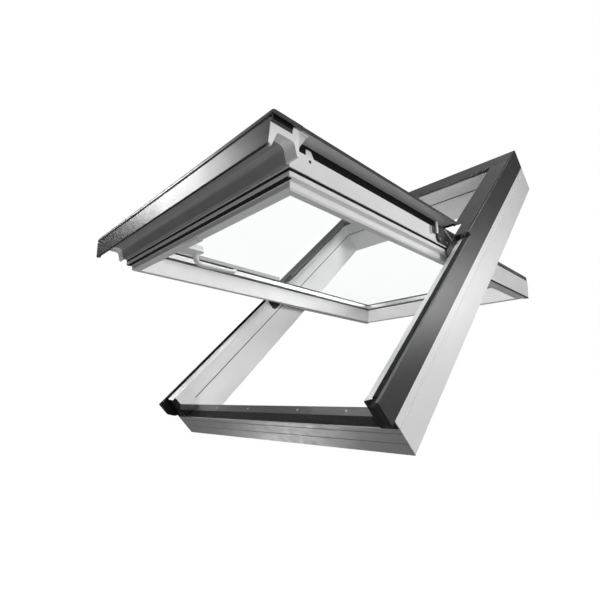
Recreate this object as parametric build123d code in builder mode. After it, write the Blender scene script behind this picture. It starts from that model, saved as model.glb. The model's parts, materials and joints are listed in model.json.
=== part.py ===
from build123d import *
import math
import os

os.makedirs("parts", exist_ok=True)

# Roof window, shown open as it is fitted in a roof. Millimetres.
# Frame directions: x across the window, u up the roof, n out of the roof.
# Sash directions: x across, v up the sash, m out of the sash, all from the pivot.

# Installed position
roof_pitch = 45
sash_opening = 45.4

# Frame sizes
frame_width = 780
frame_length = 1180
jamb_thickness = 39
head_width = 72
sill_width = 57
sill_depth = 60
white_depth = 84
rim_depth = 136
rim_fall = 5
rim_land = 19
side_groove_depth = 64
inner_groove_depth = 121
head_groove_depth = 83
groove_width = 3
groove_cut = 1.5
head_step = 2
frame_rounding = 2

# Sill and apron
apron_sheet = 2
apron_depth = 66
apron_fold = 54
apron_crease = 29
sill_seal_width = 31

# Metal covers on the frame
cladding_sheet = 2
cladding_overhang = 10
cover_rise = 14
cover_lip = 4
lower_cover_rise = 3
lower_cover_lip = 6
seal_width = 16
seal_rise = 6
bend_rounding = 1.5
end_block_width = 12
end_block_overhang = 22
end_block_chin = 14
end_block_heel = 4
end_block_foot = 10

# Pivot
pivot_share = 0.5
pivot_drop = 1

# Sash bars
sash_bar = 33
sash_room_face = -69
sash_outer_face = 0
room_bevel = 3.5
ledge_height = 16
foot_set_back = 14
waist_set_back = 2
sash_seal_top = -38
sash_seal_height = 6
sash_seal_seat = 5
sash_rounding = 1.5

# Glazing
glass_rebate = 8
glass_ledge = -16
glass_seal = 2
glass_lap = 6
glass_play = 1
bead_width = 2.5
bead_lap = 6
pane = 4
pane_gap = 14

# Metal covers and hood on the sash
cover_top = 22
cover_lap = 8
cover_drop = 8
side_cover_end = -52
carrier_end = -100
carrier_width = 20
carrier_set_back = 2
hood_reach = 71
hood_drip = -40
hood_roll = 12
hood_hem = 5
hood_slant = 6
recess_top = 8
recess_bottom = 3
recess_depth = 4
lining_set_back = 7
arch_start = -34
arch_foot = 2
arch_run = 11
arch_crown = -7
arch_back = 15
arch_lean = 7
arch_end = -36
arch_rounding = 13
hood_cap = 5.5
hood_cap_top = 0.5
cap_rim = 5
cap_flange = 7
ear_start = 19
ear_end = 17
ear_foot = 12
ear_rise = 15
ear_rounding = 7

# Clearances
sheet_lap = 0.5
sash_side_gap = 6
sash_head_gap = 5
sash_sill_lap = 1
cover_set_in = 12
cap_set_in = 11
cover_to_sash = 18
cap_to_frame = 4

# Pivot hinges
hinge_gap = 72
pocket_middle = -28
pocket_length = 160
pocket_width = 42
pocket_depth = 4
frame_plate = 3
frame_plate_length = 124
frame_plate_width = 52
frame_plate_set = 28
frame_plate_drop = 14
sash_plate_length = 120
sash_plate_width = 44
sash_plate_set = 38
sash_plate_drop = 10
plate_rounding = 12
plate_gap = 1
pin_radius = 6
pin_clearance = 0.05
pin_start = 0.5

# Handle
handle_x = -88
handle_in = 76
handle_base_width = 44
handle_base_reach = 14
handle_base_depth = 14
handle_base_sink = 6
handle_base_rounding = 10
neck_radius = 8
neck_end_gap = 1
lever_drop = 27
lever_length = 112
lever_width = 16
lever_thickness = 9
lever_bend = 20
lever_tip = 7
lever_tip_bend = 5
lever_direction = 85

# Values worked out from the sizes above
half_width = frame_width / 2
jamb_inside = half_width - jamb_thickness
head_inside = frame_length - head_width
cover_depth = rim_depth + cover_rise
pivot_u = frame_length * pivot_share
pivot_n = rim_depth - pivot_drop
side_joint = pivot_u - cladding_overhang

sash_half_width = jamb_inside - sash_side_gap
sash_bottom = -pivot_u - sash_sill_lap
sash_top = head_inside - pivot_u - sash_head_gap
inside_half = sash_half_width - sash_bar
inside_bottom = sash_bottom + sash_bar
inside_top = sash_top - sash_bar
glass_room_face = glass_ledge + glass_seal
glass_outer_face = glass_room_face + 2 * pane + pane_gap
cover_half_width = half_width - cover_set_in
cover_inner_edge = inside_half - cover_lap
overhang_edge = sash_half_width - cover_to_sash
head_edge = pivot_u + sash_top - cover_to_sash
hood_front = sash_bottom - hood_reach
cap_seat = cover_half_width - cap_set_in

pitch_angle = math.radians(roof_pitch)
sash_angle = math.radians(roof_pitch - sash_opening)
across = Vector(1, 0, 0)
up_roof = Vector(0, math.cos(pitch_angle), math.sin(pitch_angle))
out_roof = Vector(0, -math.sin(pitch_angle), math.cos(pitch_angle))
up_sash = Vector(0, math.cos(sash_angle), math.sin(sash_angle))
out_sash = Vector(0, -math.sin(sash_angle), math.cos(sash_angle))

# The origin lies on the room side of the frame, at the middle of the sill
roof = Plane(origin=up_roof * (-sill_width / 2), x_dir=across, z_dir=out_roof)
pivot_point = roof.from_local_coords(Vector(0, pivot_u, pivot_n))
sash = Plane(origin=pivot_point, x_dir=across, z_dir=out_sash)


def cross_plane(base, x):
    """Plane across the window at x, for profiles drawn in length and height."""
    return Plane(origin=base.from_local_coords(Vector(x, 0, 0)), x_dir=base.y_dir, z_dir=base.x_dir)


def length_plane(base, start):
    """Plane square to the length at start, for profiles drawn in x and height."""
    return Plane(origin=base.from_local_coords(Vector(0, start, 0)), x_dir=base.x_dir, z_dir=-base.y_dir)


# Right jamb, white plastic, stepped back for the metal covers
with BuildPart() as frame_right_jamb:
    with BuildSketch(length_plane(roof, apron_sheet)) as jamb_section:
        with BuildLine():
            Polyline(
                (jamb_inside, 0),
                (half_width, 0),
                (half_width, white_depth),
                (half_width - cladding_sheet, white_depth),
                (half_width - cladding_sheet, rim_depth),
                (half_width - rim_land, rim_depth),
                (jamb_inside, rim_depth - rim_fall),
                close=True,
            )
        make_face()
        fillet(jamb_section.vertices().sort_by(Axis.X)[0:2], radius=frame_rounding)
        with Locations(
            (half_width, side_groove_depth),
            (jamb_inside, inner_groove_depth),
            (jamb_inside, head_groove_depth + groove_width / 2),
        ):
            Rectangle(2 * groove_cut, groove_width, mode=Mode.SUBTRACT)
    extrude(amount=-(frame_length - apron_sheet))
    with BuildSketch(roof.offset(white_depth)):
        with Locations(((jamb_inside + half_width) / 2, frame_length - cladding_sheet / 2)):
            Rectangle(jamb_thickness, cladding_sheet)
    extrude(amount=rim_depth - white_depth, mode=Mode.SUBTRACT)
frame_right_jamb.part.label = "frame_right_jamb"
export_step(frame_right_jamb.part, "parts/frame_right_jamb.step")

# Sill and head, white plastic, between the jambs
with BuildPart() as frame_sill:
    with BuildSketch(cross_plane(roof, 0)) as sill_section:
        with BuildLine():
            Polyline(
                (apron_sheet, 0),
                (sill_width, 0),
                (sill_width, sill_depth - cladding_sheet),
                (apron_sheet, sill_depth - cladding_sheet),
                close=True,
            )
        make_face()
        fillet(sill_section.vertices().group_by(Axis.Y)[0], radius=frame_rounding)
    extrude(amount=jamb_inside, both=True)
frame_sill.part.label = "frame_sill"
export_step(frame_sill.part, "parts/frame_sill.step")

with BuildPart() as frame_head:
    with BuildSketch(cross_plane(roof, 0)) as head_section:
        with BuildLine():
            Polyline(
                (head_inside, 0),
                (frame_length, 0),
                (frame_length, white_depth),
                (frame_length - cladding_sheet, white_depth),
                (frame_length - cladding_sheet, rim_depth),
                (head_inside + rim_land, rim_depth),
                (head_inside + head_step, rim_depth - rim_fall),
                (head_inside + head_step, head_groove_depth + groove_width),
                (head_inside + head_step + groove_cut, head_groove_depth + groove_width),
                (head_inside + head_step + groove_cut, head_groove_depth),
                (head_inside, head_groove_depth),
                close=True,
            )
        make_face()
        fillet(head_section.vertices().group_by(Axis.Y)[0], radius=frame_rounding)
    extrude(amount=jamb_inside, both=True)
frame_head.part.label = "frame_head"
export_step(frame_head.part, "parts/frame_head.step")

# Folded apron in front of the sill, and the two strips on top of the sill
with BuildPart() as sill_apron:
    with BuildSketch(cross_plane(roof, 0)):
        with Locations((apron_sheet / 2, apron_depth / 2)):
            Rectangle(apron_sheet, apron_depth)
        with Locations((0, apron_fold), (0, apron_crease)):
            Circle(apron_sheet / 2, mode=Mode.SUBTRACT)
    extrude(amount=half_width, both=True)
sill_apron.part.label = "sill_apron"
export_step(sill_apron.part, "parts/sill_apron.step")

with BuildPart() as sill_seal:
    with BuildSketch(cross_plane(roof, 0)):
        with Locations((apron_sheet + sill_seal_width / 2, sill_depth - cladding_sheet / 2)):
            Rectangle(sill_seal_width, cladding_sheet)
    extrude(amount=jamb_inside, both=True)
sill_seal.part.label = "sill_seal"
export_step(sill_seal.part, "parts/sill_seal.step")

sill_cover_front = apron_sheet + sill_seal_width
with BuildPart() as sill_cover:
    with BuildSketch(cross_plane(roof, 0)):
        with Locations(((sill_cover_front + sill_width) / 2, sill_depth - cladding_sheet / 2)):
            Rectangle(sill_width - sill_cover_front, cladding_sheet)
    extrude(amount=jamb_inside, both=True)
sill_cover.part.label = "sill_cover"
export_step(sill_cover.part, "parts/sill_cover.step")

# Lower cover on the right jamb, with its folded lip
lower_cover_depth = rim_depth + lower_cover_rise
with BuildPart() as lower_cover_right:
    with BuildSketch(length_plane(roof, -cladding_overhang)) as lower_cover_section:
        with BuildLine():
            Polyline(
                (half_width - cladding_sheet, white_depth),
                (half_width, white_depth),
                (half_width, lower_cover_depth),
                (half_width - lower_cover_lip, lower_cover_depth),
                (half_width - lower_cover_lip, lower_cover_depth - cladding_sheet),
                (half_width - cladding_sheet, lower_cover_depth - cladding_sheet),
                close=True,
            )
        make_face()
        fillet(lower_cover_section.vertices().group_by(Axis.Y)[-1].sort_by(Axis.X)[-1], radius=bend_rounding)
    extrude(amount=-(side_joint + cladding_overhang))
lower_cover_right.part.label = "lower_cover_right"
export_step(lower_cover_right.part, "parts/lower_cover_right.step")

# Rubber seal beside the lower cover, with a rounded back
seal_inside = half_width - cladding_sheet - seal_width
seal_crown = rim_depth + seal_rise
with BuildPart() as jamb_seal_right:
    with BuildSketch(length_plane(roof, apron_sheet)):
        with BuildLine():
            Polyline(
                (seal_inside, rim_depth + cladding_sheet),
                (seal_inside, rim_depth),
                (half_width - cladding_sheet, rim_depth),
                (half_width - cladding_sheet, lower_cover_depth - cladding_sheet),
                (half_width - lower_cover_lip, lower_cover_depth - cladding_sheet),
                (half_width - lower_cover_lip, lower_cover_depth),
            )
            ThreePointArc(
                (half_width - lower_cover_lip, lower_cover_depth),
                ((seal_inside + half_width - lower_cover_lip) / 2, seal_crown),
                (seal_inside, rim_depth + cladding_sheet),
            )
        make_face()
    extrude(amount=-(side_joint - apron_sheet))
jamb_seal_right.part.label = "jamb_seal_right"
export_step(jamb_seal_right.part, "parts/jamb_seal_right.step")

# Moulded block on the lower end of the jamb: a nose and an end plate
with BuildPart() as end_block_right:
    with BuildSketch(cross_plane(roof, half_width - end_block_width)):
        with BuildLine():
            Polyline(
                (0, white_depth - end_block_foot),
                (-cladding_overhang, white_depth - end_block_heel),
                (-end_block_overhang, white_depth + end_block_chin),
                (-end_block_overhang, lower_cover_depth),
                (0, lower_cover_depth),
                close=True,
            )
        make_face()
    extrude(amount=end_block_width)
    with BuildSketch(length_plane(roof, -cladding_overhang)):
        with Locations((half_width - lower_cover_lip / 2, (white_depth + lower_cover_depth) / 2)):
            Rectangle(lower_cover_lip, lower_cover_depth - white_depth)
    extrude(amount=-cladding_overhang, mode=Mode.SUBTRACT)
    with BuildSketch(length_plane(roof, 0)):
        with BuildLine():
            Polyline(
                (jamb_inside, apron_depth),
                (half_width - cladding_sheet, apron_depth),
                (half_width - cladding_sheet, rim_depth),
                (half_width - rim_land, rim_depth),
                (jamb_inside, rim_depth - rim_fall),
                close=True,
            )
        make_face()
    extrude(amount=-apron_sheet)
end_block_right.part.label = "end_block_right"
export_step(end_block_right.part, "parts/end_block_right.step")

# Upper cover on the right jamb, mitred at the head and cut back at the hinge
with BuildPart() as upper_cover_right:
    with BuildSketch(length_plane(roof, side_joint)) as upper_cover_section:
        with BuildLine():
            Polyline(
                (half_width - cladding_sheet, white_depth),
                (half_width, white_depth),
                (half_width, cover_depth),
                (overhang_edge, cover_depth),
                (overhang_edge, cover_depth - cover_lip),
                (overhang_edge + cladding_sheet, cover_depth - cover_lip),
                (overhang_edge + cladding_sheet, cover_depth - cladding_sheet),
                (half_width - cladding_sheet, cover_depth - cladding_sheet),
                close=True,
            )
        make_face()
        fillet(upper_cover_section.vertices().group_by(Axis.Y)[-1], radius=bend_rounding)
    extrude(amount=-(frame_length - side_joint))
    with BuildSketch(roof.offset(cover_depth)):
        with Locations(((overhang_edge + jamb_inside) / 2, side_joint + hinge_gap / 2)):
            Rectangle(jamb_inside - overhang_edge, hinge_gap)
        with BuildLine():
            Polyline(
                (overhang_edge, head_edge),
                (half_width, frame_length),
                (overhang_edge, frame_length),
                close=True,
            )
        make_face()
    extrude(amount=-cover_lip, mode=Mode.SUBTRACT)
upper_cover_right.part.label = "upper_cover_right"
export_step(upper_cover_right.part, "parts/upper_cover_right.step")

# Head cover, mitred to the side covers
with BuildPart() as head_cover:
    with BuildSketch(roof.offset(cover_depth)):
        with BuildLine():
            Polyline(
                (-half_width, frame_length),
                (-overhang_edge, head_edge),
                (overhang_edge, head_edge),
                (half_width, frame_length),
                close=True,
            )
        make_face()
    extrude(amount=-cladding_sheet)
    with BuildSketch(roof.offset(cover_depth - cladding_sheet)):
        with Locations((0, frame_length - cladding_sheet / 2)):
            Rectangle(2 * (half_width - cladding_sheet), cladding_sheet)
    extrude(amount=-(cover_depth - cladding_sheet - white_depth))
    with BuildSketch(roof.offset(cover_depth - cladding_sheet)):
        with Locations((0, head_edge + cladding_sheet / 2)):
            Rectangle(2 * overhang_edge, cladding_sheet)
    extrude(amount=-(cover_lip - cladding_sheet))
head_cover.part.label = "head_cover"
export_step(head_cover.part, "parts/head_cover.step")

# Section of the sash bars, from the opening outwards
foot = sash_bar - foot_set_back
waist = sash_bar - waist_set_back
ledge = sash_room_face + ledge_height
seal_bottom = sash_seal_top - sash_seal_height
sash_profile = [
    (0, sash_room_face),
    (foot - room_bevel, sash_room_face),
    (foot, sash_room_face + room_bevel),
    (foot, ledge),
    (waist, ledge),
    (waist, seal_bottom),
    (sash_bar - sash_seal_seat, seal_bottom),
    (sash_bar - sash_seal_seat, sash_seal_top),
    (sash_bar, sash_seal_top),
    (sash_bar, sash_outer_face),
    (glass_rebate, sash_outer_face),
    (glass_rebate, glass_ledge),
    (0, glass_ledge),
]


def bar_section(plane, inside, outwards):
    """Section of a sash bar from the edge of the opening, rounded on its room side."""
    with BuildSketch(plane) as section:
        with BuildLine():
            Polyline(*[(inside + outwards * d, m) for d, m in sash_profile], close=True)
        make_face()
        room_side = section.vertices().filter_by_position(
            Axis.Y, sash_room_face - sash_rounding, ledge + sash_rounding
        )
        fillet(room_side, radius=sash_rounding)
    return section.sketch


lower_right_corner = sash.from_local_coords(Vector(inside_half, inside_bottom, 0))
lower_left_corner = sash.from_local_coords(Vector(-inside_half, inside_bottom, 0))
upper_right_corner = sash.from_local_coords(Vector(inside_half, inside_top, 0))
upper_left_corner = sash.from_local_coords(Vector(-inside_half, inside_top, 0))
falling = across - up_sash
rising = across + up_sash

# Right stile and the two rails, white plastic, mitred at the corners
with BuildPart() as sash_right_stile:
    extrude(bar_section(length_plane(sash, sash_bottom), inside_half, 1), amount=sash_bottom - sash_top)
    split(bisect_by=Plane(origin=lower_right_corner, z_dir=rising), keep=Keep.TOP)
    split(bisect_by=Plane(origin=upper_right_corner, z_dir=falling), keep=Keep.TOP)
    with BuildSketch(cross_plane(sash, sash_half_width)):
        with Locations((pocket_middle, sash_outer_face - pocket_width / 2)):
            Rectangle(pocket_length, pocket_width)
    extrude(amount=-pocket_depth, mode=Mode.SUBTRACT)
sash_right_stile.part.label = "sash_right_stile"
export_step(sash_right_stile.part, "parts/sash_right_stile.step")

with BuildPart() as sash_bottom_rail:
    extrude(bar_section(cross_plane(sash, 0), inside_bottom, -1), amount=sash_half_width, both=True)
    split(bisect_by=Plane(origin=lower_right_corner, z_dir=-rising), keep=Keep.TOP)
    split(bisect_by=Plane(origin=lower_left_corner, z_dir=falling), keep=Keep.TOP)
sash_bottom_rail.part.label = "sash_bottom_rail"
export_step(sash_bottom_rail.part, "parts/sash_bottom_rail.step")

with BuildPart() as sash_top_rail:
    extrude(bar_section(cross_plane(sash, 0), inside_top, 1), amount=sash_half_width, both=True)
    split(bisect_by=Plane(origin=upper_right_corner, z_dir=-falling), keep=Keep.TOP)
    split(bisect_by=Plane(origin=upper_left_corner, z_dir=rising), keep=Keep.TOP)
sash_top_rail.part.label = "sash_top_rail"
export_step(sash_top_rail.part, "parts/sash_top_rail.step")

# Rubber seal in the groove round the sash
sash_middle = (sash_top + sash_bottom) / 2
sash_length = sash_top - sash_bottom
with BuildPart() as sash_seal:
    with BuildSketch(sash.offset(seal_bottom)):
        with Locations((0, sash_middle)):
            Rectangle(2 * (sash_half_width - waist_set_back), sash_length - 2 * waist_set_back)
            Rectangle(
                2 * (sash_half_width - sash_seal_seat),
                sash_length - 2 * sash_seal_seat,
                mode=Mode.SUBTRACT,
            )
    extrude(amount=sash_seal_height)
sash_seal.part.label = "sash_seal"
export_step(sash_seal.part, "parts/sash_seal.step")

# Glazing: seal, room pane, spacer, outer pane, and the bead that holds it
glass_half = inside_half + glass_lap
glass_bottom = inside_bottom - glass_lap
glass_top = inside_top + glass_lap
glass_length = glass_top - glass_bottom
glass_middle = (glass_top + glass_bottom) / 2
inside_length = inside_top - inside_bottom

with BuildPart() as glazing_seal:
    with BuildSketch(sash.offset(glass_ledge)):
        with Locations((0, glass_middle)):
            Rectangle(2 * glass_half, glass_length)
            Rectangle(2 * inside_half, inside_length, mode=Mode.SUBTRACT)
    extrude(amount=glass_seal)
glazing_seal.part.label = "glazing_seal"
export_step(glazing_seal.part, "parts/glazing_seal.step")

with BuildPart() as room_pane:
    with BuildSketch(sash.offset(glass_room_face)):
        with Locations((0, glass_middle)):
            Rectangle(2 * glass_half, glass_length)
    extrude(amount=pane)
room_pane.part.label = "room_pane"
export_step(room_pane.part, "parts/room_pane.step")

with BuildPart() as pane_spacer:
    with BuildSketch(sash.offset(glass_room_face + pane)):
        with Locations((0, glass_middle)):
            Rectangle(2 * glass_half, glass_length)
            Rectangle(2 * (inside_half - bead_lap), inside_length - 2 * bead_lap, mode=Mode.SUBTRACT)
    extrude(amount=pane_gap)
pane_spacer.part.label = "pane_spacer"
export_step(pane_spacer.part, "parts/pane_spacer.step")

with BuildPart() as outer_pane:
    with BuildSketch(sash.offset(glass_outer_face - pane)):
        with Locations((0, glass_middle)):
            Rectangle(2 * glass_half, glass_length)
    extrude(amount=pane)
outer_pane.part.label = "outer_pane"
export_step(outer_pane.part, "parts/outer_pane.step")

with BuildPart() as glazing_bead:
    with BuildSketch(sash.offset(glass_outer_face)):
        with Locations((0, glass_middle)):
            Rectangle(2 * (glass_half + bead_width), glass_length + 2 * bead_width)
            Rectangle(2 * (inside_half - bead_lap), inside_length - 2 * bead_lap, mode=Mode.SUBTRACT)
    extrude(amount=cladding_sheet)
    with BuildSketch(sash.offset(sash_outer_face)):
        with Locations((0, glass_middle)):
            Rectangle(2 * (glass_half + bead_width), glass_length + 2 * bead_width)
            Rectangle(2 * glass_half + glass_play, glass_length + glass_play, mode=Mode.SUBTRACT)
    extrude(amount=glass_outer_face - sash_outer_face)
glazing_bead.part.label = "glazing_bead"
export_step(glazing_bead.part, "parts/glazing_bead.step")

# Cover on the lower half of the right stile, and its black carrier
bead_top = glass_outer_face + cladding_sheet
with BuildPart() as side_cover_right:
    with BuildSketch(length_plane(sash, sash_bottom)) as side_cover_section:
        with BuildLine():
            Polyline(
                (cover_inner_edge, bead_top),
                (cover_inner_edge + cladding_sheet, bead_top),
                (cover_inner_edge + cladding_sheet, cover_top - cladding_sheet),
                (cover_half_width - cladding_sheet, cover_top - cladding_sheet),
                (cover_half_width - cladding_sheet, cover_top - cover_drop),
                (cover_half_width, cover_top - cover_drop),
                (cover_half_width, cover_top),
                (cover_inner_edge, cover_top),
                close=True,
            )
        make_face()
        fillet(side_cover_section.vertices().group_by(Axis.Y)[-1], radius=bend_rounding)
    extrude(amount=-(side_cover_end - sash_bottom))
side_cover_right.part.label = "side_cover_right"
export_step(side_cover_right.part, "parts/side_cover_right.step")

carrier_outside = sash_half_width - carrier_set_back
carrier_top = cover_top - cladding_sheet
with BuildPart() as cover_carrier_right:
    with BuildSketch(length_plane(sash, sash_bottom)):
        with Locations((carrier_outside - carrier_width / 2, (sash_outer_face + carrier_top) / 2)):
            Rectangle(carrier_width, carrier_top - sash_outer_face)
    extrude(amount=sash_bottom - carrier_end)
cover_carrier_right.part.label = "cover_carrier_right"
export_step(cover_carrier_right.part, "parts/cover_carrier_right.step")

# One end of the rain hood: a web beside the cap, a fold over the cap, and the lip of the top sheet
sheet_middle = cladding_sheet / 2
web_front = hood_front + recess_depth + sheet_middle
web_back = sash_bottom - ear_start - sheet_lap
web_foot = hood_cap_top + sheet_lap
with BuildPart() as hood_end:
    with BuildSketch(cross_plane(sash, cap_seat)):
        with BuildLine():
            FilletPolyline(
                (web_back, web_foot),
                (web_back, cover_top - sheet_middle),
                (hood_front + sheet_middle, cover_top - sheet_middle),
                (hood_front + sheet_middle, recess_top + sheet_middle),
                radius=[bend_rounding, hood_roll - sheet_middle],
            )
            Polyline(
                (hood_front + sheet_middle, recess_top + sheet_middle),
                (web_front, recess_top + sheet_middle),
                (web_front, web_foot),
                (web_back, web_foot),
            )
        make_face()
    extrude(amount=cladding_sheet)
    with BuildSketch(cross_plane(sash, cap_seat)):
        with Locations(((web_front + web_back) / 2, web_foot + cap_flange / 2)):
            Rectangle(web_back - web_front, cap_flange)
    extrude(amount=hood_cap)
    with BuildSketch(cross_plane(sash, cover_half_width - cladding_sheet)):
        with BuildLine():
            FilletPolyline(
                (sash_bottom, cover_top - sheet_middle),
                (hood_front + sheet_middle, cover_top - sheet_middle),
                (hood_front + sheet_middle, recess_top + sheet_middle),
                radius=hood_roll - sheet_middle,
            )
            Polyline(
                (hood_front + sheet_middle, recess_top + sheet_middle),
                (web_front, cover_top - cover_drop),
                (sash_bottom, cover_top - cover_drop),
                (sash_bottom, cover_top - sheet_middle),
            )
        make_face()
    extrude(amount=cladding_sheet)

# Rain hood: one sheet rolled over the front, with a recess for a seal and a hem at its foot,
# and a tongue over the bottom rail that reaches down to the glazing bead
tongue_half = cover_inner_edge - sheet_lap
tongue_end = inside_bottom + cover_lap
with BuildPart() as rain_hood:
    with BuildSketch(cross_plane(sash, 0)):
        with BuildLine():
            FilletPolyline(
                (sash_bottom, cover_top),
                (hood_front, cover_top),
                (hood_front, recess_top),
                (hood_front + recess_depth, recess_top),
                (hood_front + recess_depth, recess_bottom),
                (hood_front, recess_bottom),
                (hood_front, hood_drip),
                (hood_front + hood_hem, hood_drip),
                radius=[hood_roll] + 4 * [bend_rounding / 2] + [bend_rounding],
            )
            offset(amount=cladding_sheet, side=Side.LEFT)
        make_face()
    extrude(amount=cover_half_width, both=True)
    with BuildSketch(length_plane(sash, hood_front)):
        with BuildLine():
            Polyline(
                (cover_half_width, recess_bottom),
                (cover_half_width, hood_drip),
                (cover_half_width - hood_slant, hood_drip),
                close=True,
            )
        make_face()
        mirror(about=Plane.YZ)
    extrude(amount=-hood_hem, mode=Mode.SUBTRACT)
    add(hood_end.part)
    mirror(hood_end.part, about=Plane.YZ)
    with BuildSketch(sash.offset(cover_top)):
        with Locations((0, (sash_bottom + tongue_end) / 2)):
            Rectangle(2 * tongue_half, tongue_end - sash_bottom)
    extrude(amount=-cladding_sheet)
    with BuildSketch(sash.offset(cover_top - cladding_sheet)):
        with Locations((0, tongue_end - cladding_sheet / 2)):
            Rectangle(2 * tongue_half, cladding_sheet)
    extrude(amount=bead_top + cladding_sheet - cover_top)
rain_hood.part.label = "rain_hood"
export_step(rain_hood.part, "parts/rain_hood.step")

# Lining under the hood, hollowed by one arch
arch_front = hood_front + lining_set_back
arch_wall = sash_bottom - arch_back


def arch_section(x, back):
    """Section of what lies under the hood at x, over the arch and up to its back edge."""
    with BuildSketch(cross_plane(sash, x)) as section:
        with BuildLine():
            Polyline(
                (back, cover_top - cladding_sheet),
                (arch_front, cover_top - cladding_sheet),
                (arch_front, arch_start),
                (arch_front + arch_foot, arch_start),
                (arch_front + arch_foot + arch_run, arch_crown),
                (arch_wall, arch_crown),
                (arch_wall + arch_lean, arch_end),
                (back, arch_end),
                close=True,
            )
        make_face()
        crown = section.vertices().filter_by_position(Axis.Y, arch_crown - arch_foot, arch_crown + arch_foot)
        fillet(crown, radius=arch_rounding)
        front = section.vertices().sort_by_distance((arch_front, cover_top - cladding_sheet))[0]
        fillet(front, radius=hood_roll - cladding_sheet)
    return section.sketch


with BuildPart() as hood_lining:
    extrude(arch_section(0, sash_bottom), amount=sash_half_width, both=True)
hood_lining.part.label = "hood_lining"
export_step(hood_lining.part, "parts/hood_lining.step")

# Moulded end cap of the hood: a block under the sheet, an outer plate with an ear,
# and a gusset from the ear down to the stile
cap_back = sash_bottom - cap_to_frame
cap_front = hood_front + cladding_sheet
cap_toe = hood_front + hood_hem + sheet_lap
ear_front = sash_bottom - ear_start
ear_back = sash_bottom + ear_end
ear_top = cover_top - cladding_sheet - sheet_lap
with BuildPart() as hood_cap_right:
    extrude(arch_section(sash_half_width, cap_back), amount=cap_seat - sash_half_width)
    with BuildSketch(cross_plane(sash, cap_seat)) as cap_outline:
        with BuildLine():
            Polyline(
                (cap_front, hood_cap_top),
                (ear_front, hood_cap_top),
                (ear_front, ear_top),
                (ear_back, ear_top),
                (ear_back, ear_foot),
                (cap_back, ear_foot),
                (cap_back, arch_end),
                (arch_wall + arch_lean, arch_end),
                (arch_wall, arch_crown - cap_rim),
                (arch_front + arch_foot + arch_run, arch_crown - cap_rim),
                (arch_front + arch_foot, hood_drip),
                (cap_toe, hood_drip),
                (cap_toe, hood_drip + cladding_sheet + sheet_lap),
                (cap_front, hood_drip + cladding_sheet + sheet_lap),
                close=True,
            )
        make_face()
        arch_corners = cap_outline.vertices().filter_by_position(
            Axis.Y, arch_crown - cap_rim - arch_foot, arch_crown - cap_rim + arch_foot
        )
        fillet(arch_corners, radius=arch_rounding - cap_rim)
        ear_corners = cap_outline.vertices().group_by(Axis.Y)[-1].sort_by(Axis.X)
        fillet(ear_corners[0], radius=ear_rise)
        fillet(ear_corners[1], radius=ear_rounding)
    extrude(amount=hood_cap)
    with BuildSketch(length_plane(sash, cap_back)):
        with BuildLine():
            Polyline(
                (sash_half_width + sheet_lap, hood_cap_top),
                (cap_seat, ear_foot),
                (cap_seat, ear_top),
                (sash_half_width + sheet_lap, ear_top),
                close=True,
            )
        make_face()
    extrude(amount=cap_back - ear_back)
hood_cap_right.part.label = "hood_cap_right"
export_step(hood_cap_right.part, "parts/hood_cap_right.step")

# Right pivot hinge: a plate and a pin on the jamb, a plate with a bore on the stile
frame_plate_face = jamb_inside - frame_plate
sash_plate_seat = sash_half_width - pocket_depth
pin_tip = sash_plate_seat + pin_start
with BuildPart() as frame_hinge_right:
    with BuildSketch(cross_plane(roof, frame_plate_face)):
        with Locations((pivot_u - frame_plate_set, pivot_n - frame_plate_drop)):
            RectangleRounded(frame_plate_length, frame_plate_width, plate_rounding)
    extrude(amount=frame_plate)
    with BuildSketch(cross_plane(roof, pin_tip)):
        with Locations((pivot_u, pivot_n)):
            Circle(pin_radius)
    extrude(amount=frame_plate_face - pin_tip)
frame_hinge_right.part.label = "frame_hinge_right"
export_step(frame_hinge_right.part, "parts/frame_hinge_right.step")

with BuildPart() as sash_hinge_right:
    with BuildSketch(cross_plane(sash, sash_plate_seat)):
        with Locations((-sash_plate_set, -sash_plate_drop)):
            RectangleRounded(sash_plate_length, sash_plate_width, plate_rounding)
        Circle(pin_radius + pin_clearance, mode=Mode.SUBTRACT)
    extrude(amount=frame_plate_face - plate_gap - sash_plate_seat)
sash_hinge_right.part.label = "sash_hinge_right"
export_step(sash_hinge_right.part, "parts/sash_hinge_right.step")

# Left-hand pieces, turned over from the right-hand ones
left_pieces = {
    "frame_left_jamb": frame_right_jamb,
    "lower_cover_left": lower_cover_right,
    "jamb_seal_left": jamb_seal_right,
    "end_block_left": end_block_right,
    "upper_cover_left": upper_cover_right,
    "sash_left_stile": sash_right_stile,
    "side_cover_left": side_cover_right,
    "cover_carrier_left": cover_carrier_right,
    "hood_cap_left": hood_cap_right,
    "frame_hinge_left": frame_hinge_right,
    "sash_hinge_left": sash_hinge_right,
}
for name, right_piece in left_pieces.items():
    with BuildPart() as left_piece:
        mirror(right_piece.part, about=Plane.YZ)
    left_piece.part.label = name
    export_step(left_piece.part, f"parts/{name}.step")

# Handle base on the bottom rail
handle_v = sash_bottom + handle_in
handle_base_room = sash_room_face + handle_base_sink
with BuildPart() as handle_base:
    with BuildSketch(sash.offset(handle_base_room)) as base_outline:
        with Locations((handle_x, (inside_bottom + handle_v + handle_base_reach) / 2)):
            Rectangle(handle_base_width, handle_v + handle_base_reach - inside_bottom)
        fillet(base_outline.vertices().group_by(Axis.Y)[-1], radius=handle_base_rounding)
        with Locations((handle_x, handle_v)):
            Circle(neck_radius + pin_clearance, mode=Mode.SUBTRACT)
    extrude(amount=handle_base_depth)
handle_base.part.label = "handle_base"
export_step(handle_base.part, "parts/handle_base.step")

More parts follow.
